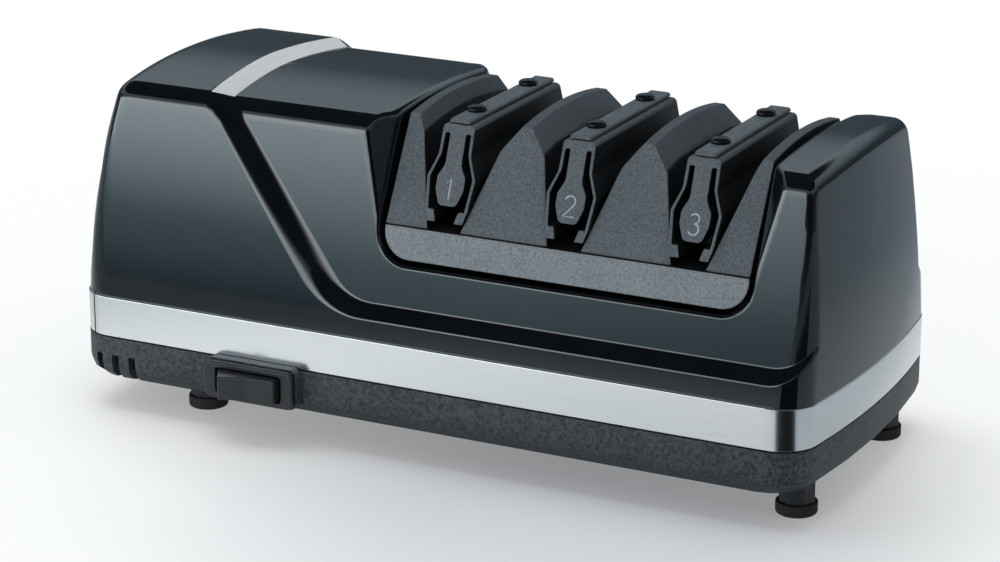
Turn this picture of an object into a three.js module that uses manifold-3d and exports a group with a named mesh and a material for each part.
// Three-stage electric knife sharpener, in millimetres.
// X runs along the length, the front faces -Y and Z is up. The pieces are drawn
// about the middle of the case. At the end the whole group moves a little along
// Y, so that the origin is on the table under the middle of everything.

import * as THREE from 'three';
import { mergeVertices } from 'three/addons/utils/BufferGeometryUtils.js';
import Module from 'manifold-3d';

const wasm = await Module();
wasm.setup();

// General clearances
const clearance = 0.3;
const seam = 0.35;
const overrun = 8;
const mergeDistance = 0.0001;

// Sharpening stages, and the run of parts from the last one to the case's end
const stageMiddle = 42.3;
const stagePitch = 40;
const stageNumbers = [1, 2, 3];
const stageX = (number) => stageMiddle + (number - 2) * stagePitch;
const discHubEnd = 12;
const springSeat = 8;
const collarWidth = 2;
const endPlay = 0.95;
const bushLength = 7;
const shaftOverhang = 0.75;
const endRoom = 14;
const endSpringSpan = discHubEnd + springSeat;
const pedestalMiddle = stageX(3) + endSpringSpan + collarWidth + endPlay + bushLength / 2;
const shaftRight = pedestalMiddle + bushLength / 2 + shaftOverhang;
const length = 2 * (shaftRight + endRoom);

// Depth of the case, from the discs outwards
const discRadius = 29.5;
const discGap = 1.5;
const panelRoom = 17;
const stepDepth = 6.2;
const chamberRadius = discRadius + discGap;
const panelDepth = chamberRadius + panelRoom;
const depth = 2 * (panelDepth + stepDepth);

// Plan outline and the levels of the stacked casings
const planCorner = 11.75;
const endRadius = 330;
const footCapHeight = 3.75;
const baseBottom = 10;
const bandBottom = 24.85;
const bandHeight = 13.05;
const bandTop = bandBottom + bandHeight;

// Heights, from the base up: the clean-out magnet, the shaft, the motor's stack
// and coil, and the hood over them; the tray's top is set by the disc chamber
const coverPlugRise = 3.2;
const magnetHeight = 2;
const statorRise = 48.5;
const coilEndWidth = 6;
const wall = 2.4;
const motorHeadroom = 5.2;
const chamberOverlap = 5.5;
const magnetFoot = baseBottom + coverPlugRise + clearance;
const magnetTop = magnetFoot + magnetHeight;
const shaftZ = magnetTop + discGap + discRadius;
const statorTop = shaftZ + statorRise;
const hoodHeight = statorTop + coilEndWidth + wall + motorHeadroom;
const trayTop = shaftZ + chamberRadius - chamberOverlap;

// Draft of the upper housing and the shape of its top
const sideDraft = 8.2;
const endDraft = 8.5;
const draftHeight = 66;
const crownRadius = 250;
const topFillet = 4.5;
const hoodTopCorner = 6;

// Lowered and inset middle of the housing
const stepDrop = 2.3;
const stepFootRise = 5.6;
const stepFoot = bandTop + stepFootRise;
const stepFootWidth = 4.8;
const panelFoot = stepFoot + stepFootWidth;
const panelLeanShare = 0.17;
const panelCorner = 9;
const panelTopCorner = 2.5;
const stepOuterInset = 91.6;
const stepOuterAtFoot = stepOuterInset - length / 2;
const stepOuterLeanShare = 0.757;
const stepOuterBend = 27;
const stepInnerShift = 8.15;
const stepInnerAtFoot = stepOuterAtFoot + stepInnerShift;
const stepInnerLeanShare = 0.841;
const stepInnerBend = 16;
const stepEndInset = 5.5;
const stepEndRise = 41.5;
const stepEndOutset = 5;
const stepEndBend = 14;

// Strip on the slanted step over the top
const stripInset = 43;
const stripWidth = 6.5;
const stripHighX = stripInset - length / 2;
const stripLowX = stripHighX + stripWidth;
const stripThickness = 0.8;
const stripHalfDepth = 41;

// Opening that the knife guides stand in
const openingLeftReach = 21.3;
const openingRightReach = 21;
const openingLeft = stageX(1) - openingLeftReach;
const openingRight = stageX(3) + openingRightReach;
const openingDepth = 11.5;
const openingFloor = trayTop - openingDepth;
const openingCorner = 10;
const flareFootDrop = 1;
const flareFoot = trayTop - flareFootDrop;
const flareHeight = 33;
const flareAlong = 7.8;
const flareBack = 9.2;

// Base tray, its rounded lower edge, feet and vents
const baseFloor = 2.4;
const baseEdgeRise = 6;
const baseEdgeInset = 5;
const baseEndInset = 7.5;
const baseWall = 2.2;
const footLeftInset = 40.1;
const footRightInset = 11.7;
const footYInset = 18.8;
const footLeftX = footLeftInset - length / 2;
const footRightX = length / 2 - footRightInset;
const footY = depth / 2 - footYInset;
const footRadius = 6.3;
const footPostRadius = 5.7;
const footSpigotRadius = 3;
const footSpigotLength = 2;
const ventWidth = 2.5;
const ventTop = 18.7;
const ventDepth = 12;
const ventInset = 11.2;
const ventFirstX = ventInset - length / 2;
const ventPitch = 6.2;
const ventCount = 3;

// Trim band
const bandThickness = 1.2;
const bandSeamInset = 9.5;
const bandSeamX = bandSeamInset - length / 2;
const bandSeamGap = 0.7;

// Rocker switch
const switchInset = 69.75;
const switchX = switchInset - length / 2;
const switchDrop = 5.85;
const switchZ = bandBottom - switchDrop;
const bezelWidth = 31.5;
const bezelHeight = 12;
const bezelCorner = 2.2;
const bezelProud = 5.8;
const bezelPlate = 2;
const bossMargin = 0.5;
const switchHoleWidth = 23.3;
const switchHoleHeight = 8.4;
const sleeveWall = 1.1;
const rockerClearance = 0.4;
const rockerTilt = 13;
const rockerFacet = 8;
const rockerTipHalf = 9;
const rockerTipHeight = 8.2;
const rockerPivotInset = 3.5;
const rockerBack = 1.6;
const switchBodyDepth = 13;
const sleeveDepth = 9;
const terminalLength = 8;
const terminalWidth = 4.8;
const terminalThickness = 0.8;
const terminalPitch = 9;

// Guide tray and the fins that stand on it
const trayGap = 1.6;
const trayRecess = 0.9;
const trayCorner = 8.4;
const trayEndWall = 3.4;
const trayPillarRadius = 4;
const trayPillarInset = 13;
const trayPillarWall = 1.5;
const trayPillarY = chamberRadius + trayPillarRadius + trayPillarWall;
const finSlot = 11;
const finFlankShare = 0.3;
const finShoulderRise = 23.5;
const finRidgeRise = 30.4;
const finChamferFoot = trayTop + finShoulderRise;
const finRidge = trayTop + finRidgeRise;
const finRidgeWidth = 3.4;
const finCrownRadius = 150;
const finCrownLift = 2.9;
const finFrontSetback = 0.2;
const finFrontLeanShare = 0.5;

// Guide springs with their clamps and screws
const springFrontAtFoot = 43;
const springBackAtFoot = 38;
const springLeanShare = 0.38;
const springFootRise = 1;
const springHeight = 29.9;
const springFoot = trayTop + springFootRise;
const springTop = springFoot + springHeight;
const springShoulderHalf = 5.25;
const springShoulderRound = 1.6;
const springArm = 1;
const springSlit = 1.15;
const springNeckDrop = 8.9;
const springJogDrop = 15.3;
const springNeckFoot = springTop - springNeckDrop;
const springJogZ = springTop - springJogDrop;
const springJogHalf = 8.1;
const springFootGap = 0.35;
const springFootBlockWidth = 2.8;
const springFootBlockHeight = 4;
const springStemHalf = 2.45;
const springBulbHalf = 5.1;
const springBulbDrop = 12.4;
const springBulbLength = 11.3;
const springBulbTaper = 5.3;
const springBulbTop = springTop - springBulbDrop;
const springBulbFoot = springBulbTop - springBulbLength;
const springBulbShoulder = springBulbFoot + springBulbTaper;
const springLegY = 31;
const springLegDepth = 8;
const clampWidth = 6.8;
const clampThickness = 1.3;
const clampChamfer = 0.5;
const clampScrewMiddleY = -2.8;
const clampScrewHalfSpacing = 17.5;
const clampScrewHeadRadius = 3;
const clampScrewHeadHeight = 1.5;
const clampScrewRadius = 1.1;
const clampScrewLength = 8;

// Spindle
const shaftRadius = 4;
const stopPinRadius = 1;
const stopPinLength = 15;
const collarRadius = 8;

// Discs: distances along the shaft are counted from the middle of a stage
const discFront = 3;
const discRimFront = 13.4;
const discRimWidth = 1.6;
const discFrontRadius = 12;
const discWeb = 2.6;
const discHubRadius = 9;
const stropRimEnd = 13.5;
const stropRimDepth = 4;
const stropEdge = 1.2;
const stropWeb = 3;
const coilRadius = 6.3;
const coilWire = 0.5;
const coilPitch = 2.2;

// Motor, brackets, bushes and fan
const statorInset = 49;
const statorLength = 28;
const statorLeft = statorInset - length / 2;
const statorRight = statorLeft + statorLength;
const statorHalfDepth = 26;
const statorPole = 20;
const statorFoot = shaftZ - statorPole;
const statorWindowFoot = shaftZ + statorPole;
const statorLeg = 10;
const statorYoke = 12;
const rotorRadius = 16;
const rotorGap = 0.5;
const rotorRingWidth = 4;
const rotorRingRadius = 13;
const coilOuterHalf = 14;
const coilUnderside = 8;
const bracketGap = 13;
const bracketThickness = 3;
const bracketFootHalf = 30;
const bracketHeadHalf = 11;
const bracketHeadRise = 15;
const bracketSpacerRadius = 3.5;
const bracketSpacerY = 21;
const bracketSpacerDrop = 14;
const bracketPostY = 16;
const bushRadius = 6.5;
const bushFlangeRadius = 8;
const bushFlangeWidth = 1.5;
const pedestalThickness = 3.5;
const pedestalX = pedestalMiddle - pedestalThickness / 2;
const pedestalFootHalf = 20;
const fanGap = 12;
const fanX = statorLeft - bracketGap - fanGap;
const shaftFanOverhang = 7;
const shaftLeft = fanX - shaftFanOverhang;
const fanRadius = 28;
const fanHubRadius = 8;
const fanHubWidth = 7;
const fanBladeChord = 11;
const fanBladeThickness = 1.5;
const fanBladeCount = 8;
const fanBladePitch = 35;

// Clean-out cover with its magnet, cord gland and case screws
const magnetLength = 40;
const magnetWidth = 12;
const coverHalfLength = 30.5;
const coverLeft = stageMiddle - coverHalfLength;
const coverRight = stageMiddle + coverHalfLength;
const coverHalfDepth = 20;
const coverLip = 4;
const coverPlate = 0.9;
const coverGripLength = 24;
const coverGripWidth = 3;
const glandInset = 36;
const glandX = glandInset - length / 2;
const glandZ = 18;
const glandRadius = 5;
const glandFlangeRadius = 6.6;
const glandFlangeWidth = 1.8;
const glandLength = 9;
const glandBore = 2.6;
const columnEndInset = 23;
const columnLeftYInset = 9.2;
const columnRightYInset = 10;
const columnLeftX = columnEndInset - length / 2;
const columnLeftY = depth / 2 - columnLeftYInset;
const columnRightX = length / 2 - columnEndInset;
const columnRightY = panelDepth - columnRightYInset;
const columnRadius = 4.5;
const columnFoot = 22;
const columnLeftDrop = 32.6;
const columnRightDrop = 24.6;
const columnLeftTop = hoodHeight - columnLeftDrop;
const columnRightTop = hoodHeight - columnRightDrop;
const caseScrewRadius = 1.6;
const caseScrewHeadRadius = 3.2;
const caseScrewHeadHeight = 2;
const caseScrewTop = 32;
const caseScrewHoleTop = 34;
const counterboreTop = 15;
const basePostRadius = 6;

// Counts of facets
const cornerSteps = 4;
const bowSteps = 2;
const crownSteps = 8;
const filletSteps = 3;
const roundSides = 20;
const chamberSides = 40;
const footSides = 16;
const smallSides = 8;
const pinSides = 6;
const outerLevels = 5;
const hollowLevels = 2;

// Sizes worked out from the ones above
const baseTop = bandBottom - seam;
const housingBottom = bandTop + seam;
const rimTop = housingBottom - clearance;
const rimInset = bandThickness + clearance;
const floorTop = baseBottom + baseFloor;
const panelTop = hoodHeight - stepDrop;
const trayLeft = openingLeft + trayGap;
const trayRight = openingRight - trayGap;
const trayBottom = openingFloor + trayGap;
const finBottom = trayTop + clearance;
const hubBore = shaftRadius + clearance;
const skyward = hoodHeight + overrun;

// Materials
const finish = (color, roughness, metalness) =>
  new THREE.MeshStandardMaterial({ color, roughness, metalness });
const glossBlack = finish(0x15181b, 0.12, 0);
const texturedBlack = finish(0x26292c, 0.7, 0);
const satinSilver = finish(0xc4c7ca, 0.35, 0.9);
const guideGrey = finish(0x5f666b, 0.65, 0);
const rubber = finish(0x17181a, 0.85, 0);
const steel = finish(0xb5b8bb, 0.3, 0.95);
const abrasive = finish(0x4a4c4e, 0.8, 0.5);
const strop = finish(0x8a8f93, 0.35, 0.1);
const iron = finish(0x6b6d70, 0.55, 0.8);
const copper = finish(0xa8663a, 0.4, 0.8);
const bronze = finish(0xa07c45, 0.4, 0.9);

// Solids: a closed mesh goes in, its shared vertices are merged, and the
// triangles that shrank to a line at a pole are dropped.
function solidOf(geometry) {
  const bare = new THREE.BufferGeometry();
  bare.setAttribute('position', geometry.getAttribute('position'));
  if (geometry.index) {
    bare.setIndex(geometry.index);
  }
  const merged = mergeVertices(bare, mergeDistance);
  const corners = merged.index.array;
  const kept = [];
  for (let i = 0; i < corners.length; i += 3) {
    const [a, b, c] = corners.slice(i, i + 3);
    if (a !== b && b !== c && c !== a) {
      kept.push(a, b, c);
    }
  }
  const vertProperties = Float32Array.from(merged.attributes.position.array);
  const triVerts = Uint32Array.from(kept);
  return new wasm.Manifold(new wasm.Mesh({ numProp: 3, vertProperties, triVerts }));
}

function geometryOf(solid) {
  const mesh = solid.getMesh();
  const geometry = new THREE.BufferGeometry();
  geometry.setAttribute('position', new THREE.BufferAttribute(mesh.vertProperties, 3));
  geometry.setIndex(new THREE.BufferAttribute(mesh.triVerts, 1));
  const faceted = geometry.toNonIndexed();
  faceted.computeVertexNormals();
  return faceted;
}

const joined = (solids) => solids.reduce((sum, solid) => sum.add(solid));

// A body carried through rings that have the same number of points. Each end is
// closed by a fan to the middle of its ring.
function loft(rings) {
  const count = rings[0].length;
  const points = rings.flat();
  const middle = (ring) => {
    const sum = ring.reduce((total, point) => total.add(point), new THREE.Vector3());
    return sum.divideScalar(ring.length);
  };
  const start = points.push(middle(rings[0])) - 1;
  const end = points.push(middle(rings.at(-1))) - 1;
  const faces = [];
  for (let ring = 0; ring < rings.length - 1; ring += 1) {
    for (let i = 0; i < count; i += 1) {
      const a = ring * count + i;
      const b = ring * count + ((i + 1) % count);
      faces.push([a, b, b + count], [a, b + count, a + count]);
    }
  }
  const last = (rings.length - 1) * count;
  for (let i = 0; i < count; i += 1) {
    const next = (i + 1) % count;
    faces.push([next, i, start], [last + i, last + next, end]);
  }
  const volume = faces.reduce((sum, [a, b, c]) => {
    const cross = new THREE.Vector3().crossVectors(points[b], points[c]);
    return sum + points[a].dot(cross);
  }, 0);
  const facesOut = volume < 0 ? faces.map(([a, b, c]) => [a, c, b]) : faces;
  const geometry = new THREE.BufferGeometry().setFromPoints(points);
  geometry.setIndex(facesOut.flat());
  return solidOf(geometry);
}

const block = ([x0, x1], [y0, y1], [z0, z1]) => {
  const geometry = new THREE.BoxGeometry(x1 - x0, y1 - y0, z1 - z0);
  geometry.translate((x0 + x1) / 2, (y0 + y1) / 2, (z0 + z1) / 2);
  return solidOf(geometry);
};

// An outline is drawn across the named axis: (y, z) for X, (x, z) for Y and
// (x, y) for Z. It is carried from one place on the axis to another.
function extrude(axis, outline, from, to) {
  const geometry = new THREE.ExtrudeGeometry(outline, {
    depth: to - from,
    bevelEnabled: false,
    curveSegments: cornerSteps,
  });
  const across = new THREE.Vector3(1, 0, 0);
  const ahead = new THREE.Vector3(0, 1, 0);
  const up = new THREE.Vector3(0, 0, 1);
  const turn = new THREE.Matrix4();
  if (axis === 'x') {
    turn.makeBasis(ahead, up, across);
    geometry.applyMatrix4(turn);
    geometry.translate(from, 0, 0);
  }
  if (axis === 'y') {
    turn.makeBasis(across, up, ahead.negate());
    geometry.applyMatrix4(turn);
    geometry.translate(0, to, 0);
  }
  if (axis === 'z') {
    geometry.translate(0, 0, from);
  }
  return solidOf(geometry);
}

function polygon(points) {
  return new THREE.Shape(points.map(([x, y]) => new THREE.Vector2(x, y)));
}

function roundedRectangle(x0, x1, y0, y1, radius) {
  const shape = new THREE.Shape();
  shape.moveTo(x0 + radius, y0);
  shape.absarc(x1 - radius, y0 + radius, radius, -Math.PI / 2, 0);
  shape.absarc(x1 - radius, y1 - radius, radius, 0, Math.PI / 2);
  shape.absarc(x0 + radius, y1 - radius, radius, Math.PI / 2, Math.PI);
  shape.absarc(x0 + radius, y0 + radius, radius, Math.PI, Math.PI * 1.5);
  return shape;
}

// A body of revolution about a line along the named axis through the centre.
// Its profile is a closed loop of [place along the axis, radius].
function turned(axis, centre, profile, sides = roundSides) {
  const loop = [...profile, profile[0]].map(([along, radius]) => new THREE.Vector2(radius, along));
  const geometry = new THREE.LatheGeometry(loop, sides);
  if (axis === 'x') {
    geometry.rotateZ(-Math.PI / 2);
  }
  if (axis === 'z') {
    geometry.rotateX(Math.PI / 2);
  }
  geometry.translate(...centre);
  const solid = solidOf(geometry);
  return solid.volume() < 0 ? solidOf(flipped(geometry)) : solid;
}

function flipped(geometry) {
  const turnedOver = geometry.clone();
  const corners = Array.from(geometry.index.array);
  const swapped = corners.map((corner, i) => {
    const first = i - (i % 3);
    return corners[[first, first + 2, first + 1][i % 3]];
  });
  turnedOver.setIndex(swapped);
  return turnedOver;
}

const cylinder = (axis, centre, radius, from, to, sides = smallSides) =>
  turned(axis, centre, [[from, 0], [from, radius], [to, radius], [to, 0]], sides);

const ringSolid = (axis, centre, inner, outer, from, to, sides = roundSides) =>
  turned(axis, centre, [[from, inner], [from, outer], [to, outer], [to, inner]], sides);

// Plan outline at one level: straight sides, round corners and bowed ends,
// counter-clockwise. The height of each point is left to the caller.
function planRing(halfLength, halfDepth, corner, heightAt) {
  const bowCentre = halfLength - endRadius;
  const cornerY = halfDepth - corner;
  const cornerX = bowCentre + Math.sqrt((endRadius - corner) ** 2 - cornerY ** 2);
  const meet = Math.atan2(cornerY, cornerX - bowCentre);
  const quarter = [];
  for (let i = 0; i <= bowSteps; i += 1) {
    const angle = (meet * i) / bowSteps;
    quarter.push([bowCentre + endRadius * Math.cos(angle), endRadius * Math.sin(angle)]);
  }
  for (let i = 1; i <= cornerSteps; i += 1) {
    const angle = meet + ((Math.PI / 2 - meet) * i) / cornerSteps;
    quarter.push([cornerX + corner * Math.cos(angle), cornerY + corner * Math.sin(angle)]);
  }
  const open = quarter.slice(1);
  const back = [...open].reverse();
  const plan = [
    ...quarter,
    ...back.map(([x, y]) => [-x, y]),
    [-halfLength, 0],
    ...open.map(([x, y]) => [-x, -y]),
    ...back.map(([x, y]) => [x, -y]),
  ];
  return plan.map(([x, y]) => new THREE.Vector3(x, y, heightAt(y)));
}

const crownDrop = (y, radius = crownRadius) => radius - Math.sqrt(radius ** 2 - y ** 2);
const draftShare = (z) => Math.max(0, z - bandTop) / draftHeight;
const hoodHalfLength = (z) => length / 2 - endDraft * draftShare(z) ** 1.35;
const hoodHalfDepth = (z) => depth / 2 - sideDraft * draftShare(z) ** 1.2;
const hoodCorner = (z) => planCorner - (planCorner - hoodTopCorner) * Math.min(1, draftShare(z));
const panelHalfDepth = (z) => panelDepth - panelLeanShare * (z - panelFoot);
const panelPlanCorner = (z) =>
  panelCorner - (panelCorner - panelTopCorner) * Math.min(1, draftShare(z));

const hoodForm = {
  halfLength: hoodHalfLength,
  halfDepth: hoodHalfDepth,
  corner: hoodCorner,
  top: hoodHeight,
};
const panelForm = {
  halfLength: hoodHalfLength,
  halfDepth: panelHalfDepth,
  corner: panelPlanCorner,
  top: panelTop,
};

// Housing form: drafted sides that rise to a filleted edge and a top that is
// crowned across Y. The form can be shrunk by a wall to make its hollow.
function loaf(form, shrink, bottom) {
  const edge = form.top - shrink - topFillet;
  const sideLevels = shrink > 0 ? hollowLevels : outerLevels;
  const smallestCorner = form.corner(form.top) / 4;
  const rings = [];
  const ringAt = (level, inset, crownShare, spreadShare = 1) => {
    const corner = Math.max(form.corner(level) - shrink - inset, smallestCorner);
    const ring = planRing(
      form.halfLength(level) - shrink - inset,
      form.halfDepth(level) - shrink - inset,
      corner,
      () => level,
    );
    for (const point of ring) {
      point.x *= 1 - (1 - spreadShare) / 2;
      point.y *= spreadShare;
      point.z = level - crownShare * crownDrop(point.y);
    }
    rings.push(ring);
  };
  for (let i = 0; i <= sideLevels; i += 1) {
    const share = i / sideLevels;
    ringAt(bottom + (edge - bottom) * share, 0, share ** 2);
  }
  const edgeSteps = shrink > 0 ? hollowLevels : filletSteps;
  for (let i = 1; i <= edgeSteps; i += 1) {
    const angle = ((Math.PI / 2) * i) / edgeSteps;
    const inset = topFillet * (1 - Math.cos(angle));
    ringAt(edge + topFillet * Math.sin(angle), inset, 1);
  }
  for (const spreadShare of [0.66, 0.33, 0.05]) {
    ringAt(form.top - shrink, topFillet, 1, spreadShare);
  }
  return loft(rings);
}

// A profile in (x, z), carried along Y and lowered by a crown on the way.
function crowned(points, from, to, radius) {
  const rings = [];
  for (let i = 0; i <= crownSteps; i += 1) {
    const y = from + ((to - from) * i) / crownSteps;
    const drop = crownDrop(y, radius);
    rings.push(points.map(([x, z]) => new THREE.Vector3(x, y, z - drop)));
  }
  return loft(rings);
}

// A chain of corners [x, z, bend radius] with its bends drawn as arcs.
function bentPath(corners, steps) {
  const path = [];
  corners.forEach(([x, z, radius], i) => {
    if (!radius) {
      path.push([x, z]);
      return;
    }
    const corner = new THREE.Vector2(x, z);
    const before = new THREE.Vector2(...corners[i - 1]).sub(corner).normalize();
    const after = new THREE.Vector2(...corners[i + 1]).sub(corner).normalize();
    const half = Math.acos(before.dot(after)) / 2;
    const tangent = radius / Math.tan(half);
    const centre = before.clone().add(after).normalize();
    centre.multiplyScalar(radius / Math.sin(half)).add(corner);
    const start = before.clone().multiplyScalar(tangent).add(corner).sub(centre);
    const end = after.clone().multiplyScalar(tangent).add(corner).sub(centre);
    const sweep = Math.atan2(start.cross(end), start.dot(end));
    for (let k = 0; k <= steps; k += 1) {
      const angle = start.angle() + (sweep * k) / steps;
      path.push([centre.x + radius * Math.cos(angle), centre.y + radius * Math.sin(angle)]);
    }
  });
  return path;
}

// Cutter that sinks the middle panel below the outer face. Its rim is the
// S-shaped wall that leans down the front, bends, and runs along the band.
function panelCutter() {
  const stepEndX = length / 2 - stepEndInset;
  const farX = length / 2 + stepEndOutset;
  const pathAt = (footX, leanShare, footZ, bend) =>
    bentPath(
      [
        [footX - leanShare * (skyward - footZ), skyward],
        [footX, footZ, bend],
        [stepEndX, footZ, stepEndBend],
        [farX, stepFoot + stepEndRise],
        [farX, skyward],
      ],
      cornerSteps + 1,
    );
  const outer = pathAt(stepOuterAtFoot, stepOuterLeanShare, stepFoot, stepOuterBend);
  const inner = pathAt(stepInnerAtFoot, stepInnerLeanShare, panelFoot, stepInnerBend);
  const ringAt = (acrossShare, depthShare, push) =>
    outer.map(([x, z], i) => {
      const ringX = x + (inner[i][0] - x) * acrossShare;
      const ringZ = z + (inner[i][1] - z) * acrossShare;
      const outerY = hoodHalfDepth(ringZ);
      const y = outerY + (panelHalfDepth(ringZ) - outerY) * depthShare + push;
      return new THREE.Vector3(ringX, -y, ringZ);
    });
  return loft([
    ringAt(0, 0, overrun),
    ringAt(0, 0, 0),
    ringAt(0.25, 0.14, 0),
    ringAt(0.5, 0.5, 0),
    ringAt(0.75, 0.86, 0),
    ringAt(1, 1, 0),
    ringAt(1, 1, -panelDepth / 2),
  ]);
}

const mirroredInY = (solid) => solid.mirror([0, 1, 0]);

// Slanted step over the top: a prism that follows the crown.
function topStep() {
  const run = stripLowX - stripHighX;
  const far = length / 2 + overrun;
  return crowned(
    [
      [stripHighX - run * 3, hoodHeight + stepDrop * 3],
      [stripLowX + run * 2, panelTop - stepDrop * 2],
      [far, panelTop - stepDrop * 2],
      [far, hoodHeight + stepDrop * 3],
    ],
    -depth / 2 - overrun,
    depth / 2 + overrun,
    crownRadius,
  );
}

// Strip profile, grown by a margin below and at both long edges.
function stripProfile(margin) {
  const slope = stepDrop / (stripLowX - stripHighX);
  const left = stripHighX - margin;
  const right = stripLowX + margin;
  const leftZ = hoodHeight + margin * slope;
  const rightZ = panelTop - margin * slope;
  const rise = margin > 0 ? overrun : 0;
  const below = stripThickness + margin;
  return [[left, leftZ - below], [right, rightZ - below], [right, rightZ + rise], [left, leftZ + rise]];
}

const topStrip = () => crowned(stripProfile(0), -stripHalfDepth, stripHalfDepth, crownRadius);
const stripRecess = () => {
  const half = stripHalfDepth + clearance;
  return crowned(stripProfile(clearance), -half, half, crownRadius);
};

// U-shaped opening seen from the front, grown by a margin.
function openingOutline(margin) {
  const left = openingLeft - margin;
  const right = openingRight + margin;
  const floor = openingFloor - margin;
  const radius = openingCorner + margin;
  const shape = new THREE.Shape();
  shape.moveTo(left, skyward);
  shape.lineTo(left, floor + radius);
  shape.absarc(left + radius, floor + radius, radius, Math.PI, Math.PI * 1.5);
  shape.absarc(right - radius, floor + radius, radius, Math.PI * 1.5, Math.PI * 2);
  shape.lineTo(right, skyward);
  return shape;
}

// Flare that widens a front corner of the opening towards the top.
function flareCutter(edgeX, outward) {
  const ringAt = (z) => {
    const share = Math.max((z - flareFoot) / flareHeight, 0.01);
    const front = panelHalfDepth(z);
    const along = flareAlong * share;
    const back = flareBack * share;
    const onFace = [edgeX + outward * along * 1.5, -front - back / 2];
    const onWall = [edgeX - outward * along / 2, -front + back * 1.5];
    const clear = [edgeX - outward * overrun, -front - overrun];
    return [onFace, onWall, clear].map(([x, y]) => new THREE.Vector3(x, y, z));
  };
  return loft([ringAt(flareFoot), ringAt(skyward)]);
}

const columns = [
  { x: columnLeftX, y: columnLeftY, top: columnLeftTop },
  { x: columnLeftX, y: -columnLeftY, top: columnLeftTop },
  { x: columnRightX, y: columnRightY, top: columnRightTop },
  { x: columnRightX, y: -columnRightY, top: columnRightTop },
];

function upperHousing() {
  const front = panelCutter();
  const back = mirroredInY(front);
  const outer = loaf(hoodForm, 0, housingBottom).subtract(topStep());
  const middle = loaf(panelForm, 0, housingBottom);
  let body = outer.subtract(front).subtract(back).add(middle);

  const hollowBottom = housingBottom - overrun;
  const hoodHollow = loaf(hoodForm, wall, hollowBottom);
  const farY = [-depth, depth];
  const underHood = block([-length, stripHighX - wall], farY, [0, skyward]);
  const underPanel = block([-length, length], farY, [0, stepFoot - wall]);
  const hollow = joined([
    loaf(panelForm, wall, hollowBottom),
    hoodHollow.intersect(underHood),
    hoodHollow.intersect(underPanel),
  ]);
  const floorGap = [openingLeft + openingCorner, openingRight - openingCorner];
  const trough = extrude('y', openingOutline(wall), -depth, depth)
    .subtract(block(floorGap, farY, [0, trayTop]))
    .subtract(discChamber(clearance));
  body = body.subtract(hollow.subtract(trough));

  const bosses = columns.map(({ x, y, top }) =>
    cylinder('z', [x, y, 0], columnRadius, columnFoot, top));
  body = joined([body, ...bosses]);
  body = body.subtract(extrude('y', openingOutline(0), -depth, depth));
  for (const [edgeX, outward] of [[openingLeft, -1], [openingRight, 1]]) {
    const flare = flareCutter(edgeX, outward);
    body = body.subtract(flare).subtract(mirroredInY(flare));
  }
  const pilotRadius = caseScrewRadius + clearance;
  for (const { x, y } of columns) {
    body = body.subtract(cylinder('z', [x, y, 0], pilotRadius, 0, caseScrewHoleTop));
  }
  return body.subtract(stripRecess());
}

// A slab of the case's own plan outline, inset from it.
function planSlab(inset, from, to) {
  const corner = planCorner - inset;
  const ringAt = (z) => planRing(length / 2 - inset, depth / 2 - inset, corner, () => z);
  return loft([ringAt(from), ringAt(to)]);
}

function trimBand() {
  const skin = planSlab(0, bandBottom, bandTop);
  const inside = planSlab(bandThickness, bandBottom - overrun, bandTop + overrun);
  const seamX = [bandSeamX - bandSeamGap / 2, bandSeamX + bandSeamGap / 2];
  const gap = block(seamX, [-depth, 0], [0, skyward]);
  return skin.subtract(inside).subtract(gap);
}

const feet = [
  { name: 'rubber_foot_front_left', x: footLeftX, y: -footY },
  { name: 'rubber_foot_front_right', x: footRightX, y: -footY },
  { name: 'rubber_foot_rear_left', x: footLeftX, y: footY },
  { name: 'rubber_foot_rear_right', x: footRightX, y: footY },
];

const spigotTop = footCapHeight + clearance + footSpigotLength;

function rubberFoot(x, y) {
  const edge = footCapHeight / 5;
  const neck = footSpigotRadius - clearance;
  return turned('z', [x, y, 0], [
    [0, 0],
    [0, footRadius - edge],
    [edge, footRadius],
    [footCapHeight - edge, footRadius],
    [footCapHeight, footRadius - edge],
    [footCapHeight, neck],
    [spigotTop, neck],
    [spigotTop, 0],
  ], footSides);
}

function baseOuter() {
  const rings = [];
  for (let i = 0; i <= filletSteps; i += 1) {
    const angle = ((Math.PI / 2) * i) / filletSteps;
    const share = 1 - Math.sin(angle);
    const z = baseBottom + baseEdgeRise * (1 - Math.cos(angle));
    const halfLength = length / 2 - baseEndInset * share;
    const halfDepth = depth / 2 - baseEdgeInset * share;
    rings.push(planRing(halfLength, halfDepth, planCorner, () => z));
  }
  rings.push(planRing(length / 2, depth / 2, planCorner, () => baseTop));
  return loft(rings);
}

const bezelFrontY = -depth / 2 - bezelProud;
const bezelBackY = bezelFrontY + bezelPlate;
const bossFrontY = bezelBackY + clearance;
const switchRim = (margin) => roundedRectangle(
  switchX - bezelWidth / 2 - margin,
  switchX + bezelWidth / 2 + margin,
  switchZ - bezelHeight / 2 - margin,
  switchZ + bezelHeight / 2 + margin,
  bezelCorner + margin,
);
const switchHole = (margin) => roundedRectangle(
  switchX - switchHoleWidth / 2 - margin,
  switchX + switchHoleWidth / 2 + margin,
  switchZ - switchHoleHeight / 2 - margin,
  switchZ + switchHoleHeight / 2 + margin,
  bezelCorner / 2 + margin,
);

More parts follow.
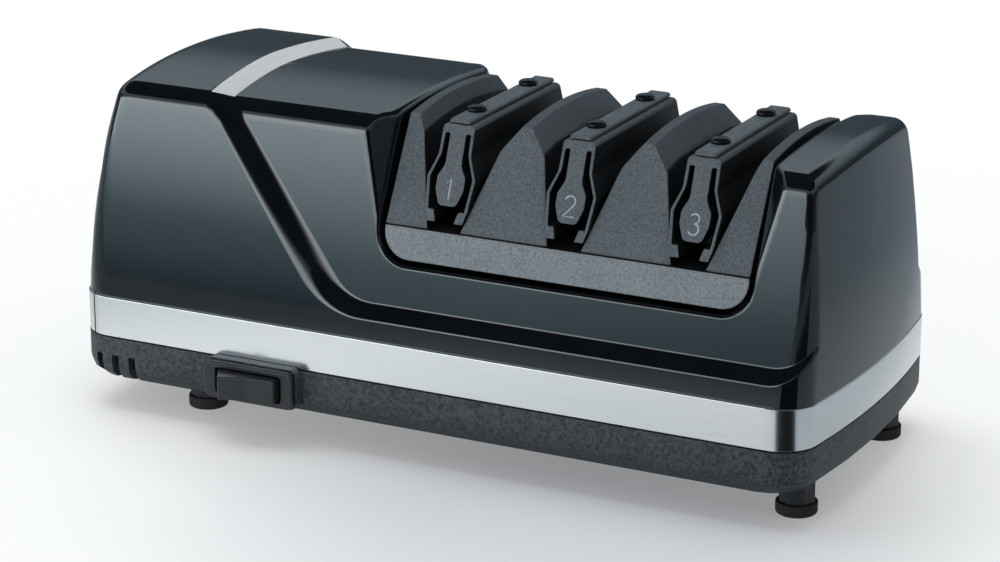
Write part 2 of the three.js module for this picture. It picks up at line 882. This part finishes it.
function baseTray() {
  const inset = rimInset + baseWall;
  const rim = planSlab(rimInset, baseTop - overrun / 2, rimTop);
  let body = baseOuter().add(rim);
  const bandClear = block([-length, length], [-depth / 2 - seam, 0], [baseTop, skyward]);
  const boss = extrude('y', switchRim(bossMargin), bossFrontY, -depth / 2 + wall);
  body = body.add(boss.subtract(bandClear));
  body = body.subtract(planSlab(inset, floorTop, skyward));

  const posts = feet.map(({ x, y }) =>
    cylinder('z', [x, y, 0], footPostRadius, footCapHeight + clearance, floorTop + baseFloor));
  const screwPosts = columns.map(({ x, y }) =>
    cylinder('z', [x, y, 0], basePostRadius, floorTop - baseFloor / 2, columnFoot - clearance));
  const pillarPosts = trayPillars.map(([x, y]) =>
    cylinder('z', [x, y, 0], trayPillarRadius, floorTop - baseFloor / 2, pillarFoot - clearance));
  const bracketPosts = bracketPlaces.map(([x, y]) =>
    cylinder('z', [x, y, 0], bracketSpacerRadius, floorTop - baseFloor / 2, bracketFoot - clearance));
  body = joined([body, ...posts, ...screwPosts, ...pillarPosts, ...bracketPosts]);

  for (const { x, y } of feet) {
    const hole = cylinder('z', [x, y, 0], footSpigotRadius, 0, spigotTop + clearance);
    body = body.subtract(hole);
  }
  for (const { x, y } of columns) {
    const through = cylinder('z', [x, y, 0], caseScrewRadius + clearance, 0, skyward);
    const head = cylinder('z', [x, y, 0], caseScrewHeadRadius + clearance, 0, counterboreTop);
    body = body.subtract(through).subtract(head);
  }
  for (let i = 0; i < ventCount; i += 1) {
    const x = ventFirstX + i * ventPitch;
    const across = [x - ventWidth / 2, x + ventWidth / 2];
    const slot = block(across, [-depth, ventDepth - depth / 2], [0, ventTop]);
    body = body.subtract(slot);
  }
  body = body.subtract(extrude('y', switchHole(sleeveWall + clearance), -depth, -depth / 2 + overrun));
  const glandHole = cylinder('y', [glandX, 0, glandZ], glandRadius + clearance, 0, depth);
  const lipX = [coverLeft + coverLip, coverRight - coverLip];
  const lipY = [coverLip - coverHalfDepth, coverHalfDepth - coverLip];
  const recess = block(
    [coverLeft - clearance, coverRight + clearance],
    [-coverHalfDepth - clearance, coverHalfDepth + clearance],
    [0, baseBottom + coverPlate + clearance],
  );
  const cleanout = block(lipX, lipY, [0, skyward]);
  return body.subtract(glandHole).subtract(recess).subtract(cleanout);
}

function cleanoutCover() {
  const plateZ = [baseBottom, baseBottom + coverPlate];
  const plate = block([coverLeft, coverRight], [-coverHalfDepth, coverHalfDepth], plateZ);
  const plugTop = baseBottom + coverPlugRise;
  const plugInset = coverLip + clearance;
  const plug = block(
    [coverLeft + plugInset, coverRight - plugInset],
    [plugInset - coverHalfDepth, coverHalfDepth - plugInset],
    [baseBottom, plugTop],
  );
  const middleX = (coverLeft + coverRight) / 2;
  const gripX = [middleX - coverGripLength / 2, middleX + coverGripLength / 2];
  const gripY = coverHalfDepth - coverLip;
  const grip = (y) => {
    const across = [y - coverGripWidth / 2, y + coverGripWidth / 2];
    return block(gripX, across, [0, baseBottom + coverPlate]);
  };
  return plate.add(plug).subtract(grip(gripY - coverGripWidth)).subtract(grip(coverGripWidth - gripY));
}

function filingsMagnet() {
  const middleX = (coverLeft + coverRight) / 2;
  return block(
    [middleX - magnetLength / 2, middleX + magnetLength / 2],
    [-magnetWidth / 2, magnetWidth / 2],
    [magnetFoot, magnetTop],
  );
}

function caseScrew(x, y) {
  const headBottom = counterboreTop - clearance - caseScrewHeadHeight;
  const headTop = counterboreTop - clearance;
  const socket = caseScrewHeadRadius / 2;
  return turned('z', [x, y, 0], [
    [headTop - socket / 2, 0],
    [headBottom, socket],
    [headBottom, caseScrewHeadRadius],
    [headTop, caseScrewHeadRadius],
    [headTop, caseScrewRadius],
    [caseScrewTop - caseScrewRadius, caseScrewRadius],
    [caseScrewTop, 0],
  ], smallSides);
}

function cordGland() {
  const wallY = depth / 2;
  return turned('y', [glandX, 0, glandZ], [
    [wallY - glandLength, glandBore],
    [wallY - glandLength, glandRadius],
    [wallY + clearance, glandRadius],
    [wallY + clearance, glandFlangeRadius],
    [wallY + glandFlangeWidth, glandFlangeRadius - clearance],
    [wallY + glandFlangeWidth, glandBore],
  ], smallSides);
}

// Rocker switch
const pivotY = bezelFrontY + rockerPivotInset;

function switchBezel() {
  const plate = extrude('y', switchRim(0), bezelFrontY, bezelBackY);
  const sleeveBack = bezelBackY - bezelPlate / 2;
  const sleeve = extrude('y', switchHole(sleeveWall), sleeveBack, bezelFrontY + sleeveDepth);
  return plate.add(sleeve).subtract(extrude('y', switchHole(0), -depth, 0));
}

function switchRocker() {
  const reach = switchHoleWidth / 2 - rockerClearance;
  const facetDrop = rockerTipHalf * Math.tan(THREE.MathUtils.degToRad(rockerFacet));
  const side = [
    [-rockerTipHalf, -rockerTipHeight],
    [0, facetDrop - rockerTipHeight],
    [rockerTipHalf, -rockerTipHeight],
    [reach, -rockerBack / 2],
    [reach, rockerBack],
    [-reach, rockerBack],
    [-reach, -rockerBack / 2],
  ];
  const halfHeight = switchHoleHeight / 2 - rockerClearance;
  const tilt = THREE.MathUtils.degToRad(rockerTilt);
  const turnedSide = side.map(([x, y]) => [
    switchX + x * Math.cos(tilt) - y * Math.sin(tilt),
    pivotY + x * Math.sin(tilt) + y * Math.cos(tilt),
  ]);
  return extrude('z', polygon(turnedSide), switchZ - halfHeight, switchZ + halfHeight);
}

function switchBody() {
  const front = bezelFrontY + sleeveDepth + clearance;
  const back = front + switchBodyDepth;
  const body = extrude('y', switchHole(sleeveWall), front, back);
  const blades = [-1, 0, 1].map((place) => {
    const x = switchX + place * terminalPitch;
    return block(
      [x - terminalThickness / 2, x + terminalThickness / 2],
      [back - terminalLength / 4, back + terminalLength],
      [switchZ - terminalWidth / 2, switchZ + terminalWidth / 2],
    );
  });
  return joined([body, ...blades]);
}

// Guide tray: a frame in the opening, hollowed over the discs and carried on
// four pillars.
const trayFrontAt = (z) => panelHalfDepth(z) - trayRecess;
const pillarFoot = floorTop + baseFloor * 2;
const trayPillars = [trayLeft + trayPillarInset, trayRight - trayPillarInset]
  .flatMap((x) => [[x, trayPillarY], [x, -trayPillarY]]);

const discChamber = (margin = 0) => {
  const radius = chamberRadius + margin;
  const from = trayLeft + trayEndWall;
  const to = trayRight - trayEndWall;
  return cylinder('x', [0, 0, shaftZ], radius, from, to, chamberSides);
};

function leaningBlock(frontAt, backAt, xs, bottom, top) {
  const side = polygon([
    [-frontAt(bottom), bottom],
    [backAt(bottom), bottom],
    [backAt(top), top],
    [-frontAt(top), top],
  ]);
  return extrude('x', side, xs[0], xs[1]);
}

function guideTray() {
  const shape = new THREE.Shape();
  shape.moveTo(trayLeft, trayTop);
  shape.lineTo(trayLeft, trayBottom + trayCorner);
  shape.absarc(trayLeft + trayCorner, trayBottom + trayCorner, trayCorner, Math.PI, Math.PI * 1.5);
  shape.absarc(trayRight - trayCorner, trayBottom + trayCorner, trayCorner, Math.PI * 1.5, Math.PI * 2);
  shape.lineTo(trayRight, trayTop);
  const slab = extrude('y', shape, -depth, depth);
  const low = trayBottom - overrun;
  const high = trayTop + overrun;
  const lean = leaningBlock(trayFrontAt, trayFrontAt, [-length, length], low, high);
  const pillars = trayPillars.map(([x, y]) =>
    cylinder('z', [x, y, 0], trayPillarRadius, pillarFoot, trayBottom + trayGap));
  return joined([slab.intersect(lean), ...pillars]).subtract(discChamber());
}

// Fins: each fills the space between two knife slots, with leaning flanks, a
// chamfered roof that follows the crown, and end faces that lean inwards.
const flankX = (footX, direction, z) => footX + direction * finFlankShare * (z - trayTop);

function guideFin(leftStage, rightStage) {
  const slotHalf = finSlot / 2;
  const ridgeHalf = finRidgeWidth / 2;
  const leftFoot = leftStage ? stageX(leftStage) + slotHalf : trayLeft;
  const rightFoot = rightStage ? stageX(rightStage) - slotHalf : trayRight;
  const leftLean = leftStage ? 1 : 0;
  const rightLean = rightStage ? -1 : 0;
  let ridge = (leftFoot + rightFoot) / 2;
  if (!leftStage) {
    ridge = leftFoot + ridgeHalf;
  }
  if (!rightStage) {
    ridge = rightFoot - ridgeHalf;
  }
  const ridgeZ = finRidge + finCrownLift;
  const chamferZ = finChamferFoot + finCrownLift;
  const reach = flankX(0, 1, finChamferFoot);
  const flankTop = ridgeZ + overrun;
  const flanks = extrude('y', polygon([
    [leftFoot, finBottom],
    [rightFoot, finBottom],
    [flankX(rightFoot, rightLean, flankTop), flankTop],
    [flankX(leftFoot, leftLean, flankTop), flankTop],
  ]), -depth, depth);
  const roofLeft = leftStage ? leftFoot + reach : leftFoot - ridgeHalf;
  const roofRight = rightStage ? rightFoot - reach : rightFoot + ridgeHalf;
  const wide = stagePitch / 2;
  const slopeLeft = leftStage ? (ridgeZ - chamferZ) / (ridge - ridgeHalf - roofLeft) : 0;
  const slopeRight = rightStage ? (ridgeZ - chamferZ) / (roofRight - ridge - ridgeHalf) : 0;
  const roof = crowned(
    [
      [roofLeft - wide, trayBottom],
      [roofRight + wide, trayBottom],
      [roofRight + wide, (rightStage ? chamferZ : ridgeZ) - slopeRight * wide],
      [ridge + ridgeHalf, ridgeZ],
      [ridge - ridgeHalf, ridgeZ],
      [roofLeft - wide, (leftStage ? chamferZ : ridgeZ) - slopeLeft * wide],
    ],
    -depth / 2,
    depth / 2,
    finCrownRadius,
  );
  const frontAt = (z) => trayFrontAt(trayTop) - finFrontSetback - finFrontLeanShare * (z - trayTop);
  const ends = leaningBlock(frontAt, frontAt, [-length, length], finBottom - overrun, flankTop);
  return flanks.intersect(roof).intersect(ends).subtract(discChamber());
}

// Guide spring: one moulding with two slim arms beside a central stem, and a
// bulb that carries the stage number. A leg at the back stands on the tray.
const springFrontAt = (z) => springFrontAtFoot - springLeanShare * (z - springFoot);
const springBackAt = (z) => springBackAtFoot - springLeanShare * (z - springFoot);

function springOutline() {
  const flankHalf = (z) => flankX(finSlot / 2, 1, z) - springFootGap;
  const blockTop = springFoot + springFootBlockHeight;
  const armTopInner = springShoulderHalf - springArm;
  const slitTop = springTop - springShoulderRound - springArm;
  const half = [
    [0, springTop],
    [springShoulderHalf - springShoulderRound, springTop],
    [springShoulderHalf, springTop - springShoulderRound],
    [springShoulderHalf + springArm / 5, springNeckFoot],
    [springJogHalf, springJogZ],
    [flankHalf(blockTop), blockTop],
    [flankHalf(springFoot), springFoot],
    [flankHalf(springFoot) - springFootBlockWidth, springFoot],
    [flankHalf(blockTop) - springFootBlockWidth, blockTop],
    [flankHalf(blockTop) - springArm, blockTop],
    [springJogHalf - springArm, springJogZ],
    [armTopInner + springArm / 5, springNeckFoot + springArm / 3],
    [armTopInner, slitTop],
    [armTopInner - springSlit / 3, slitTop + springSlit / 3],
    [springStemHalf + springSlit / 3, slitTop + springSlit / 3],
    [springStemHalf, slitTop],
    [springStemHalf, springNeckFoot],
    [springBulbHalf, springBulbTop - springArm],
    [springBulbHalf, springBulbShoulder],
    [springBulbHalf / 2, springBulbFoot],
    [0, springBulbFoot],
  ];
  const mirrored = half.slice(1, -1).reverse().map(([x, z]) => [-x, z]);
  return [...half, ...mirrored];
}

function guideSpring(number) {
  const x = stageX(number);
  const outline = polygon(springOutline().map(([dx, z]) => [x + dx, z]));
  const bar = extrude('y', outline, -depth / 2, depth / 2);
  const ceiling = springTop + overrun;
  const ends = leaningBlock(springFrontAt, springBackAt, [-length, length], springFoot - overrun, ceiling);
  const leg = block(
    [x - springStemHalf, x + springStemHalf],
    [springLegY - springLegDepth / 2, springLegY + springLegDepth / 2],
    [finBottom, springBulbFoot + springArm],
  );
  let body = bar.intersect(ends).subtract(discChamber()).add(leg);
  for (const y of clampScrewPlaces) {
    const bottom = clampTop - clampScrewLength - clearance;
    body = body.subtract(cylinder('z', [x, y, 0], clampScrewRadius + clearance, bottom, ceiling));
  }
  return body;
}

const clampScrewPlaces = [-1, 1].map((side) => clampScrewMiddleY + side * clampScrewHalfSpacing);
const clampBottom = springTop + clearance;
const clampTop = clampBottom + clampThickness;

function springClamp(number) {
  const x = stageX(number);
  const half = clampWidth / 2;
  const shoulder = clampTop - clampChamfer;
  const profile = polygon([
    [x - half, clampBottom],
    [x + half, clampBottom],
    [x + half, shoulder],
    [x + half - clampChamfer, clampTop],
    [x - half + clampChamfer, clampTop],
    [x - half, shoulder],
  ]);
  let bar = extrude('y', profile, -springFrontAt(clampTop), springBackAt(clampTop));
  for (const y of clampScrewPlaces) {
    bar = bar.subtract(cylinder('z', [x, y, 0], clampScrewRadius + clearance, 0, clampTop + overrun));
  }
  return bar;
}

function clampScrew(number, y) {
  const head = clampTop + clearance;
  const dome = clampScrewHeadHeight;
  return turned('z', [stageX(number), y, 0], [
    [clampTop - clampScrewLength, 0],
    [clampTop - clampScrewLength, clampScrewRadius],
    [head, clampScrewRadius],
    [head, clampScrewHeadRadius],
    [head + dome * 0.35, clampScrewHeadRadius],
    [head + dome * 0.85, clampScrewHeadRadius * 0.6],
    [head + dome, 0],
  ], smallSides);
}

// Spindle: one shaft from the fan to the outboard bush, with a stop pin in
// front of each disc and a collar behind each end spring.
const shaftCentre = [0, 0, shaftZ];
const stageSides = stageNumbers.flatMap((number) => [[number, -1], [number, 1]]);

function driveShaft() {
  const edge = shaftRadius / 5;
  const rod = turned('x', shaftCentre, [
    [shaftLeft, 0],
    [shaftLeft, shaftRadius - edge],
    [shaftLeft + edge, shaftRadius],
    [shaftRight - edge, shaftRadius],
    [shaftRight, shaftRadius - edge],
    [shaftRight, 0],
  ]);
  const pins = stageSides.map(([number, side]) => {
    const x = stageX(number) + side * (discFront - clearance - stopPinRadius);
    const half = stopPinLength / 2;
    return cylinder('z', [x, 0, shaftZ], stopPinRadius, -half, half, pinSides);
  });
  const leftCollar = stageX(1) - endSpringSpan;
  const rightCollar = stageX(3) + endSpringSpan;
  const collars = [[leftCollar - collarWidth, leftCollar], [rightCollar, rightCollar + collarWidth]];
  const rings = collars.map(([from, to]) => cylinder('x', shaftCentre, collarRadius, from, to, roundSides));
  return joined([rod, ...pins, ...rings]);
}

// A conical abrasive disc: the blade meets its front cone.
function abrasiveProfile() {
  return [
    [discFront, hubBore],
    [discFront, discFrontRadius],
    [discRimFront, discRadius],
    [discRimFront + discRimWidth, discRadius],
    [discFront + discWeb * 2, discFrontRadius + discWeb],
    [discFront + discWeb * 2, discHubRadius],
    [discHubEnd, discHubRadius],
    [discHubEnd, hubBore],
  ];
}

// A strop wheel: a broad rim on a thin web.
function stropProfile() {
  const rimInner = discRadius - stropRimDepth;
  return [
    [discFront, hubBore],
    [discFront, discRadius - stropEdge],
    [discFront + stropEdge, discRadius],
    [stropRimEnd - stropEdge, discRadius],
    [stropRimEnd, discRadius - stropEdge],
    [stropRimEnd, rimInner],
    [discFront + stropWeb, rimInner],
    [discFront + stropWeb, discHubRadius],
    [discHubEnd, discHubRadius],
    [discHubEnd, hubBore],
  ];
}

function disc(number, side) {
  const profile = number === 3 ? stropProfile() : abrasiveProfile();
  const placed = profile.map(([along, radius]) => [stageX(number) + side * along, radius]);
  return turned('x', shaftCentre, placed);
}

// A compression spring wound round the shaft: one tube of five-sided section
// that turns eight steps to a curl.
function coilSpring(from, to) {
  const stepsPerTurn = 8;
  const sides = 5;
  const start = from + coilWire + clearance;
  const travel = to - from - 2 * (coilWire + clearance);
  const turns = Math.round(travel / coilPitch);
  const steps = turns * stepsPerTurn;
  const rings = [];
  for (let step = 0; step <= steps; step += 1) {
    const angle = (2 * Math.PI * step) / stepsPerTurn;
    const along = start + (travel * step) / steps;
    const ring = [];
    for (let k = 0; k < sides; k += 1) {
      const around = (2 * Math.PI * k) / sides;
      const radius = coilRadius + coilWire * Math.cos(around);
      const x = along + coilWire * Math.sin(around);
      ring.push(new THREE.Vector3(x, radius * Math.cos(angle), shaftZ + radius * Math.sin(angle)));
    }
    rings.push(ring);
  }
  const leastGap = travel / turns - 2 * coilWire;
  console.log(`spring with ${turns} turns, least gap ${leastGap.toFixed(2)} mm`);
  return loft(rings);
}

const coilSprings = [
  ['disc_spring_1', stageX(1) - endSpringSpan, stageX(1) - discHubEnd],
  ['disc_spring_2', stageX(1) + discHubEnd, stageX(2) - discHubEnd],
  ['disc_spring_3', stageX(2) + discHubEnd, stageX(3) - discHubEnd],
  ['disc_spring_4', stageX(3) + discHubEnd, stageX(3) + endSpringSpan],
];

// Motor: a stack of laminations with the coil on its upper yoke
const yokeBottom = statorTop - statorYoke;
const yokeHalf = statorHalfDepth - statorLeg;

function motorStator() {
  const plate = polygon([
    [-statorHalfDepth, statorFoot],
    [statorHalfDepth, statorFoot],
    [statorHalfDepth, statorTop],
    [-statorHalfDepth, statorTop],
  ]);
  const stack = extrude('x', plate, statorLeft, statorRight);
  const window = block([-length, length], [-yokeHalf, yokeHalf], [statorWindowFoot, yokeBottom]);
  const radius = rotorRadius + rotorGap;
  const from = statorLeft - overrun;
  const to = statorRight + overrun;
  return stack.subtract(window).subtract(cylinder('x', shaftCentre, radius, from, to, roundSides));
}

function motorCoil() {
  const half = Math.min(coilOuterHalf, yokeHalf - clearance);
  const body = block(
    [statorLeft - coilEndWidth, statorRight + coilEndWidth],
    [-half, half],
    [yokeBottom - coilUnderside, statorTop + coilEndWidth],
  );
  const hole = block(
    [statorLeft - clearance, statorRight + clearance],
    [-depth, depth],
    [yokeBottom - clearance, statorTop + clearance],
  );
  return body.subtract(hole);
}

function motorRotor() {
  return turned('x', shaftCentre, [
    [statorLeft - rotorRingWidth, hubBore],
    [statorLeft - rotorRingWidth, rotorRingRadius],
    [statorLeft, rotorRingRadius],
    [statorLeft, rotorRadius],
    [statorRight, rotorRadius],
    [statorRight, rotorRingRadius],
    [statorRight + rotorRingWidth, rotorRingRadius],
    [statorRight + rotorRingWidth, hubBore],
  ]);
}

const bracketFoot = floorTop + baseFloor * 2;
const bracketLeftX = statorLeft - bracketGap;
const bracketRightX = statorRight + bracketGap;
const bracketPlaces = [bracketLeftX, bracketRightX, pedestalMiddle]
  .flatMap((x) => [[x, -bracketPostY], [x, bracketPostY]]);

// A bearing plate that stands on the base and tapers to its bush.
function bearingPlate(from, to, footHalf) {
  const head = shaftZ + bracketHeadRise;
  const plate = extrude('x', polygon([
    [-footHalf, bracketFoot],
    [footHalf, bracketFoot],
    [bracketHeadHalf, head - bracketHeadHalf / 2],
    [bracketHeadHalf / 2, head],
    [-bracketHeadHalf / 2, head],
    [-bracketHeadHalf, head - bracketHeadHalf / 2],
  ]), from, to);
  const radius = bushRadius + clearance;
  const hole = cylinder('x', shaftCentre, radius, from - overrun, to + overrun, roundSides);
  return plate.subtract(hole);
}

function motorBracket(side) {
  const inner = side < 0 ? statorLeft : statorRight;
  const plateX = side < 0 ? bracketLeftX : bracketRightX;
  const plate = bearingPlate(plateX - bracketThickness / 2, plateX + bracketThickness / 2, bracketFootHalf);
  const ends = [plateX, inner + side * clearance].sort((a, b) => a - b);
  const spacers = [-bracketSpacerY, bracketSpacerY].map((y) => {
    const centre = [0, y, shaftZ - bracketSpacerDrop];
    return cylinder('x', centre, bracketSpacerRadius, ends[0], ends[1]);
  });
  return joined([plate, ...spacers]);
}

function shaftBush(x, side) {
  const half = bushLength / 2;
  const flange = half - bushFlangeWidth;
  const placed = [
    [-half, hubBore],
    [-half, bushRadius],
    [flange, bushRadius],
    [flange, bushFlangeRadius],
    [half, bushFlangeRadius],
    [half, hubBore],
  ].map(([along, radius]) => [x + side * along, radius]);
  return turned('x', shaftCentre, placed);
}

function coolingFan() {
  const hubEnd = fanHubWidth / 2;
  const hub = ringSolid('x', shaftCentre, hubBore, fanHubRadius, fanX - hubEnd, fanX + hubEnd);
  const blades = [];
  for (let i = 0; i < fanBladeCount; i += 1) {
    const span = fanRadius - fanHubRadius + fanHubRadius / 4;
    const blade = new THREE.BoxGeometry(fanBladeChord, fanBladeThickness, span);
    blade.rotateZ(THREE.MathUtils.degToRad(90 - fanBladePitch));
    blade.translate(0, 0, fanRadius - span / 2);
    blade.rotateX((2 * Math.PI * i) / fanBladeCount);
    blade.translate(fanX, 0, shaftZ);
    blades.push(solidOf(blade));
  }
  return joined([hub, ...blades]);
}

// The model
const sharpener = new THREE.Group();

function add(name, solid, material) {
  const mesh = new THREE.Mesh(geometryOf(solid), material);
  mesh.name = name;
  sharpener.add(mesh);
}

add('upper_housing', upperHousing(), glossBlack);
add('top_trim_strip', topStrip(), satinSilver);
add('trim_band', trimBand(), satinSilver);
add('base_tray', baseTray(), texturedBlack);
for (const { name, x, y } of feet) {
  add(name, rubberFoot(x, y), rubber);
}
add('switch_bezel', switchBezel(), glossBlack);
add('switch_rocker', switchRocker(), glossBlack);
add('switch_body', switchBody(), texturedBlack);
add('guide_tray', guideTray(), guideGrey);
add('guide_fin_1', guideFin(null, 1), guideGrey);
add('guide_fin_2', guideFin(1, 2), guideGrey);
add('guide_fin_3', guideFin(2, 3), guideGrey);
add('guide_fin_4', guideFin(3, null), guideGrey);
for (const number of stageNumbers) {
  add(`guide_spring_${number}`, guideSpring(number), guideGrey);
  add(`spring_clamp_${number}`, springClamp(number), guideGrey);
  add(`clamp_screw_${number}_front`, clampScrew(number, clampScrewPlaces[0]), texturedBlack);
  add(`clamp_screw_${number}_rear`, clampScrew(number, clampScrewPlaces[1]), texturedBlack);
}
add('drive_shaft', driveShaft(), steel);
for (const [number, side] of stageSides) {
  const name = `disc_${number}_${side < 0 ? 'left' : 'right'}`;
  add(name, disc(number, side), number === 3 ? strop : abrasive);
}
for (const [name, from, to] of coilSprings) {
  add(name, coilSpring(from, to), steel);
}
add('motor_stator', motorStator(), iron);
add('motor_coil', motorCoil(), copper);
add('motor_rotor', motorRotor(), iron);
add('motor_bracket_left', motorBracket(-1), steel);
add('motor_bracket_right', motorBracket(1), steel);
add('shaft_pedestal', bearingPlate(pedestalX, pedestalX + pedestalThickness, pedestalFootHalf), steel);
add('shaft_bush_left', shaftBush(bracketLeftX, -1), bronze);
add('shaft_bush_right', shaftBush(bracketRightX, 1), bronze);
add('shaft_bush_outboard', shaftBush(pedestalMiddle, -1), bronze);
add('cooling_fan', coolingFan(), texturedBlack);
add('cleanout_cover', cleanoutCover(), texturedBlack);
add('filings_magnet', filingsMagnet(), iron);
add('cord_gland', cordGland(), rubber);
columns.forEach(({ x, y }, i) => add(`base_screw_${i + 1}`, caseScrew(x, y), steel));

const reach = new THREE.Box3().setFromObject(sharpener);
sharpener.position.y = -reach.getCenter(new THREE.Vector3()).y;

export default sharpener;
